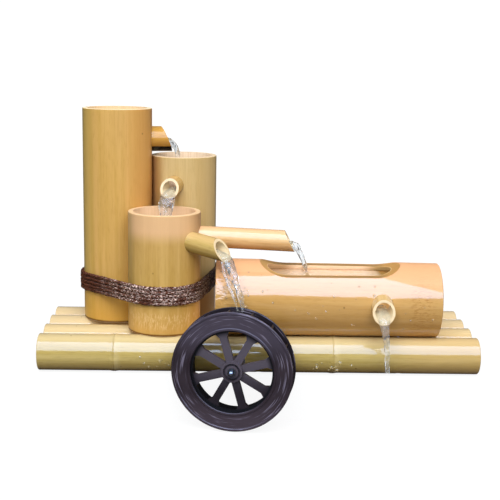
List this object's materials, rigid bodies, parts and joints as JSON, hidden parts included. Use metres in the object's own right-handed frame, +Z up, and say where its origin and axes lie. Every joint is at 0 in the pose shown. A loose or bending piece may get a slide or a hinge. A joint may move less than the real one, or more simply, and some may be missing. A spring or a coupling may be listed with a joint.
{
  "type": "bamboo fountain",
  "caption": "Bamboo fountain on a raft of poles: upright tubes step down through small spouts to a water wheel and a lying trough.",
  "frame": {"origin": "middle of the raft's underside, halfway along the poles and between the two middle poles", "axes": "+X runs along the poles from the tall tube towards the trough's right end, +Y from the wheel side to the back, +Z up"},
  "size_m": [0.47, 0.2169, 0.3217],
  "materials": {
    "raft_bamboo": "varnished bamboo, pale olive-yellow, glossy",
    "tube_bamboo": "varnished bamboo, golden tan, glossy",
    "spout_bamboo": "varnished bamboo, pale tan, glossy",
    "dowel_wood": "plain hardwood dowel",
    "rope": "dark brown twisted cord, wet",
    "wheel_plastic": "dark moulded plastic, wet sheen",
    "black_plastic": "black moulded plastic",
    "hose": "flexible grey hose",
    "rubber": "black rubber",
    "steel": "stainless steel",
    "brass": "plain brass bush",
    "chrome": "polished domed nut"
  },
  "bodies": {
    "fountain": {"pole_front": "raft_bamboo", "pole_second": "raft_bamboo", "pole_third": "raft_bamboo", "pole_back": "raft_bamboo", "raft_dowels": "dowel_wood", "tall_tube": "tube_bamboo", "medium_tube": "tube_bamboo", "short_tube": "tube_bamboo", "trough": "tube_bamboo", "tall_spout": "spout_bamboo", "medium_spout": "spout_bamboo", "wheel_spout": "spout_bamboo", "channel": "spout_bamboo", "trough_spout": "spout_bamboo", "rope_binding": "rope", "inlet_socket": "black_plastic", "riser_hose": "hose", "riser_grommet": "rubber", "tube_screws": "steel", "trough_screws": "steel", "axle": "steel", "axle_sleeve": "black_plastic", "seat_washer": "steel", "front_washer": "rubber", "domed_nut": "chrome"},
    "wheel": {"wheel_front": "wheel_plastic", "wheel_back": "wheel_plastic", "hub_bush": "brass"}
  },
  "joints": [
    {"name": "wheel_spin", "type": "hinge", "parent": "fountain", "child": "wheel", "pos_m": [-0.0252, -0.09339, 0.0162], "axis": [-0.184, -0.9829, 0], "continuous": true}
  ]
}
